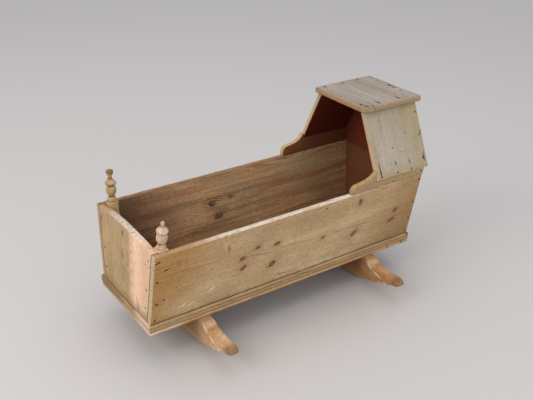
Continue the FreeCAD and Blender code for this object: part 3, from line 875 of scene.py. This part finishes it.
def baseBoard():
    piece = newBox(baseLow, baseHigh)
    ringCuts(x=110, y=12)
    return wear(piece, 0.0022, knocks=0.0006)


# nosed moulding, mitred at the corners
moulding = {"nose": 0.0008, "openJoint": 0.0012, "jointAt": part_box("moulding_right_foot")[1].x}


def mouldingCorner(onSide, sign, start=None, end=None):
    xNose = (baseLow.x - moulding["nose"], baseHigh.x + moulding["nose"])
    yNose = baseHigh.y + moulding["nose"]

    def sideCorner(right, far, up):
        z = zMoulding if up else zFloor
        outer = (far == 1) == (sign > 0)
        given = end if right else start
        x = given if given is not None else (
            xNose[right] if outer else (headOut(z) if right else footOut(z)))
        return (x, sign * (yNose if outer else sideOut(z)), z)

    def endCorner(right, far, up):
        z = zMoulding if up else zFloor
        outer = (right == 1) == (sign > 0)
        wall = headOut(z) if sign > 0 else footOut(z)
        y = yNose if outer else sideOut(z)
        return (xNose[sign > 0] if outer else wall, (1 if far else -1) * y, z)

    return sideCorner if onSide else endCorner


def mouldingStrip(node, look, onSide, sign, cuts, start=None, end=None):
    axis = 1 if onSide else 0
    piece = plate(mouldingCorner(onSide, sign, start, end))
    limit = (baseHigh.y + moulding["nose"]) if onSide else max(
        abs(baseLow.x - moulding["nose"] - xMiddle), abs(baseHigh.x - xMiddle))

    def noseEdge(edge):
        a, b = edge.verts
        reach = [abs(v.co[axis] - (0 if onSide else xMiddle)) for v in (a, b)]
        return min(reach) > limit - 0.0025 and min(a.co.z, b.co.z) > zMoulding - 0.001

    pick(noseEdge, "EDGE")
    bpy.ops.mesh.bevel(offset=0.0048, segments=5, profile=0.5, affect="EDGES")
    ringCuts(**{"x" if onSide else "y": cuts})
    wear(piece, 0.0012, segments=2, planed=0.0008, knocks=0.0004)
    settle(piece, look, node)


# corner posts
turnings = {  # (height, radius) in millimetres
    "body": [(0, 13.4), (3, 13), (7, 11.2), (10.5, 10),
             (11.8, 8.6), (13.6, 8.4), (15, 9.6), (19, 12.2),
             (24, 14), (30, 14.7), (36, 13.8), (40, 11.4),
             (42.2, 9.2), (43.7, 9.2), (45, 13.6), (48, 15.6),
             (51.5, 15.4), (53.5, 13.6), (57, 10.6), (61, 7.2)],
    "left": [(66, 4.9), (70, 5.6), (75, 8.6), (80, 10.5),
             (84.5, 10), (87.5, 6), (88.5, 2)],
    "right": [(64, 4.2), (67, 4.4), (70.5, 5.7), (73.5, 5.5),
              (76.5, 3.6), (77.5, 1.2)],
}


def cornerPost(node, look, sign, button, rounded):
    profile = [(z / 1000, r / 1000) for z, r in turnings["body"] + turnings[button]]
    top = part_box(node)[1].z - profile[-1][0] / math.sqrt(1 + lean ** 2 + flare ** 2)
    size = slopes["postSize"]

    def cornerAt(right, far, up):
        z = top if up else zFloor
        outer = (far == 1) == (sign > 0)
        y = sideIn(z) - (0 if outer else size)
        return (footIn(z) + (size if right else 0), sign * y, z)

    square = plate(cornerAt)
    pick(lambda e: abs(e.verts[0].co.z - e.verts[1].co.z) > 0.1, "EDGE")
    bpy.ops.mesh.bevel(offset=rounded, segments=5, affect="EDGES")
    pick(lambda e: min(v.co.z for v in e.verts) > top - 0.0005, "EDGE")
    bpy.ops.mesh.bevel(offset=0.0052, segments=4, profile=0.4, affect="EDGES")
    ringCuts(z=10)
    wear(square, 0.0016, planed=0.0008, knocks=0.0004)
    bpy.ops.mesh.primitive_cylinder_add(
        vertices=40, radius=profile[0][1], depth=0.002, end_fill_type="NGON",
        location=(0, 0, -0.001))
    finial = bpy.context.object
    bpy.ops.object.transform_apply()
    enter("EDIT")
    pick(lambda f: f.normal.z > 0.9, "FACE")
    for (lowZ, lowR), (highZ, highR) in zip(profile, profile[1:]):
        steps = 2
        for step in range(steps):
            before = lowR + (highR - lowR) * step / steps
            after = lowR + (highR - lowR) * (step + 1) / steps
            height = lowZ + (highZ - lowZ) * (step + 1) / steps
            bpy.ops.mesh.extrude_region_move(
                TRANSFORM_OT_translate={"value": (0, 0, (highZ - lowZ) / steps)})
            share = after / before
            bpy.ops.transform.resize(value=(share, share, 1), center_override=(0, 0, height))
    enter("OBJECT")
    applyModifier(finial, "DISPLACE", texture=knocked, strength=0.0012, texture_coords="LOCAL")
    stand(finial, Vector((lean, sign * flare, 1)).normalized(), (
        footIn(top) + size / 2, sign * (sideIn(top) - size / 2), top))
    bpy.ops.object.transform_apply()
    only(square, finial)
    bpy.ops.object.join()
    shadeSmooth(48)
    settle(square, look, node)


# rockers
rocker = {  # metres, and tables of millimetres by distance out from the middle
    "radius": 0.700, "flat": 0.015, "reach": 0.304, "rounding": 0.0050, "toeFrom": 0.287,
    "top": {
        156: 0, 166: -0.8, 174: -2.6, 181: -6, 187: -9.5, 194: -13, 203: -15.8, 216: -18,
        236: -19, 254: -18.6, 268: -17, 280: -17.2, 290: -18, 298: -20.2, 304: -24},
    "toeLift": {290: 0.3, 298: 1.2, 304: 4.6},
    "toeWidth": {290: 0.95, 298: 0.84, 304: 0.60}}


def rockerRun(y):
    centre = math.sqrt(rocker["radius"] ** 2 - rocker["flat"] ** 2)
    return max(0.0, centre - math.sqrt(rocker["radius"] ** 2 - y ** 2))


def rockerPiece(node, look):
    low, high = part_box(node)
    top = baseLow.z
    piece = newBox((low.x, -rocker["reach"], 0), (high.x, rocker["reach"], top))
    outs = [0, 50, 90, 125] + list(rocker["top"])
    cuts = sorted({sign * out / 1000 for out in outs[:-1] for sign in (1, -1)})
    for y in cuts:
        sliceAt((0, y, 0), (0, 1, 0))
    for y in cuts + [-rocker["reach"], rocker["reach"]]:
        out = round(abs(y) * 1000)
        drop = rocker["top"].get(out, 0) / 1000
        if drop:
            drag(lambda v: abs(v.co.y - y) < 0.0002 and v.co.z > top / 2, (0, 0, drop))
        rise = rockerRun(abs(y))
        if out in rocker["toeLift"]:
            rise = rockerRun(rocker["toeFrom"]) + rocker["toeLift"][out] / 1000
        drag(lambda v: abs(v.co.y - y) < 0.0002 and v.co.z < min(rise + 0.001, 0.0005),
             (0, 0, rise))
        if out in rocker["toeWidth"]:
            pick(lambda v: abs(v.co.y - y) < 0.0002)
            bpy.ops.transform.resize(
                value=(rocker["toeWidth"][out], 1, 1),
                center_override=((low.x + high.x) / 2, y, top / 2))
    wear(piece, rocker["rounding"], segments=4, planed=0.0034, knocks=0.0012)
    settle(piece, look, node)


# nail heads, set where the boards meet
nailHead = {"side": 0.0066, "thick": 0.0022, "proud": 0.0003}


def oneNail(radius, thick):
    bpy.ops.mesh.primitive_cylinder_add(
        vertices=8, radius=radius, depth=thick, location=(0, 0, 0))
    head = bpy.context.object
    enter("EDIT")
    pick(lambda f: f.normal.z > 0.9, "FACE")
    bpy.ops.mesh.inset(thickness=radius * 0.3, depth=radius * 0.06)
    bpy.ops.mesh.inset(thickness=radius * 0.3, depth=-radius * 0.04)
    enter("OBJECT")
    return head


def nailGroup(node, spots, small=False):
    radius = nailHead["side"] / 2 * (0.5 if small else 1.0)
    pattern = oneNail(radius, nailHead["thick"])
    heads = []
    for number, (point, normal) in enumerate(spots):
        head = pattern.copy()
        head.data = pattern.data.copy()
        bpy.context.collection.objects.link(head)
        normal = Vector(normal).normalized()
        sunk = nailHead["thick"] / 2 - nailHead["proud"]
        stand(head, normal, Vector(point) - normal * sunk)
        squash = 0.82 + 0.3 * ((number * 37) % 10) / 10
        head.scale = (squash, 1.9 - squash, 1)
        heads.append(head)
    bpy.data.objects.remove(pattern)
    only(*heads)
    bpy.ops.object.join()
    group = bpy.context.object
    bpy.ops.object.transform_apply()
    shadeSmooth()
    settle(group, "iron", node)


def bothSides(normal, spots):
    return [((x, sign * y, z), (normal[0], sign * normal[1], normal[2]))
            for x, y, z in spots for sign in (1, -1)]


def above(level, *rises):
    return [level + rise for rise in rises]


settle(sideBoard(-1), "nearSide", "side_board_right")
settle(sideBoard(1), "farSide", "side_board_left")
settle(footBoard(), "foot", "foot_board")
headLower, headUpper = headBoards()
settle(headLower, "headLower", "head_board_lower")
settle(headUpper, "headUpper", "head_board_upper")
print("walls modelled")
settle(hoodPanel(-1), "rightPanel", "hood_panel_right")
settle(hoodPanel(1), "leftPanel", "hood_panel_left")
settle(hoodRoof(), "roof", "hood_roof")
settle(cheek(-1), "rightCheek", "cheek_right")
settle(cheek(1), "leftCheek", "cheek_left")
print("hood modelled")
settle(baseBoard(), "base", "base_board")
gap = moulding["openJoint"] / 2
mouldingStrip("moulding_left", "leftMoulding", True, 1, 90)
mouldingStrip("moulding_right_foot", "rightMoulding", True, -1, 40, end=moulding["jointAt"] - gap)
mouldingStrip("moulding_right_head", "rightMoulding", True, -1, 50,
    start=moulding["jointAt"] + gap)
mouldingStrip("moulding_foot", "footMoulding", False, -1, 30)
mouldingStrip("moulding_head", "headMoulding", False, 1, 30)
print("base modelled")
cornerPost("corner_post_left", "leftPost", 1, "left", 0.0085)
cornerPost("corner_post_right", "rightPost", -1, "right", 0.0040)
rockerPiece("rocker_foot", "footRocker")
rockerPiece("rocker_head", "headRocker")
print("posts and rockers modelled")

sideNormal = (0, math.cos(flareAngle), -math.sin(flareAngle))
hoodNormal = (0, math.cos(panelTilt), math.sin(panelTilt))
footNormal = (-math.cos(leanAngle), 0, math.sin(leanAngle))
halfEnd, halfPost = endAcross / 2, slopes["postSize"] / 2
nailGroup("nails_foot_corner", bothSides(sideNormal, [
    (footIn(z) - slopes["endThick"] / 3, sideOut(z), z)
    for z in above(zFloor, 0.030, 0.084, 0.155, 0.217)]))
nailGroup("nails_head_corner", bothSides(sideNormal, [
    (headOut(z) - halfEnd, sideOut(z), z)
    for z in above(zFloor, 0.030, 0.078, 0.136, 0.217, 0.2465)]))
postNails = bothSides(footNormal, [
    (footOut(z), sideIn(z) - halfPost, z) for z in above(zFloor, 0.060, 0.118, 0.208)])
postNails += bothSides(sideNormal, [
    (footIn(z) + halfPost, sideOut(z), z) for z in above(zFloor, 0.092, 0.186)])
nailGroup("nails_foot_post", postNails)
nailRow = zHood + 0.007
hoodSpots = [(panelLow.x + run, hoodOut(nailRow), nailRow) for run in (0.017, 0.079, 0.134)]
hoodSpots += [(headOut(z) - halfEnd, hoodOut(z), z) for z in above(zHood, 0.027, 0.090, 0.152)]
nailGroup("nails_hood", bothSides(hoodNormal, hoodSpots))
edge = slopes["hoodTopHalf"] - 0.005
roofSpots = [(roofLow.x + run, edge, roofHigh.z) for run in (0.026, 0.095, 0.158)]
roofSpots += [(roofLow.x + run, -edge, roofHigh.z) for run in (0.014, 0.067, 0.145)]
roofSpots += [(headOut(zRoof) - halfEnd, y, roofHigh.z) for y in (-0.050, 0.003, 0.056)]
nailGroup("nails_roof", [(spot, (0, 0, 1)) for spot in roofSpots])
pinHigh = zFloor + slopes["mouldingHigh"] * 0.52
halfBase, halfWide = (baseHigh.x - baseLow.x) / 2, baseHigh.y
pins = bothSides((0, 1, 0), [
    (xMiddle + halfBase * share, halfWide + moulding["nose"], pinHigh)
    for share in (-0.875, -0.547, -0.219, 0.044, 0.284, 0.591, 0.897)])
pins += [((xMiddle + way * (halfBase + moulding["nose"]), halfWide * share, pinHigh), (way, 0, 0))
         for share in (-0.774, -0.315, 0.262, 0.761) for way in (-1, 1)]
nailGroup("pins_moulding", pins, small=True)
for node, look in (  # pieces the frame brings, shown as they are
        ("nails_base", "iron"), ("nails_rocker", "iron"), ("dowels_cheek", "rightCheek")):
    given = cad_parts[node].data.materials
    given.clear()
    given.append(materials[look])
print("nails set")

# floor, light and camera
studio = {"floorTone": tint("cbc8c6"), "worldTone": tint("ececf0"), "worldStrength": 0.78}
bpy.ops.mesh.primitive_plane_add(size=14, location=(0, 0, 0))
floor = bpy.context.object
floor.name = "paleFloor"
floorMaterial, floorTree = newMaterial("palePaintedFloor")
floorShader = floorTree.nodes["Principled BSDF"]
floorShader.inputs["Base Color"].default_value = studio["floorTone"]
floorShader.inputs["Roughness"].default_value = 0.6
floor.data.materials.append(floorMaterial)

world = bpy.data.worlds.new("softStudio")
bpy.context.scene.world = world
world.use_nodes = True
background = world.node_tree.nodes["Background"]
background.inputs["Color"].default_value = studio["worldTone"]
background.inputs["Strength"].default_value = studio["worldStrength"]


def softbox(name, place, aim, size, power, colour=(1, 1, 1)):
    bpy.ops.object.light_add(type="AREA", location=place)
    lamp = bpy.context.object
    lamp.name = name
    lamp.data.shape = "RECTANGLE"
    lamp.data.size, lamp.data.size_y = size
    lamp.data.energy = power
    lamp.data.color = colour
    lamp.rotation_euler = (Vector(aim) - Vector(place)).to_track_quat("-Z", "Y").to_euler()


softbox("windowLeft", (-3.3, -0.1, 2.5), (0, 0, 0.2), (2.6, 2.2), 60, (1.0, 0.97, 0.93))
softbox("overhead", (0.3, 0.3, 3.6), (0, 0, 0), (3.4, 3.4), 30)
softbox("lowFront", (0.6, -2.6, 0.7), (0, 0, 0.05), (2.4, 0.9), 12)

viewing = {
    "azimuth": -34.7, "elevation": 26.8, "roll": 0.7, "lens": 50.9, "distance": 2.3185,
    "target": (0.048, 0.075, 0.254)}
turnTo, climb = math.radians(viewing["azimuth"]), math.radians(viewing["elevation"])
back = Vector(
    (math.sin(turnTo) * math.cos(climb), -math.cos(turnTo) * math.cos(climb), math.sin(climb)))
bpy.ops.object.camera_add(location=Vector(viewing["target"]) + back * viewing["distance"])
camera = bpy.context.object
camera.data.lens = viewing["lens"]
camera.data.sensor_width = 36
facing = (-back).to_track_quat("-Z", "Y")
camera.rotation_euler = (facing.to_matrix() @ Matrix.Rotation(
    math.radians(viewing["roll"]), 3, "Z")).to_euler()
bpy.context.scene.camera = camera
bpy.context.scene.view_settings.view_transform = "Standard"
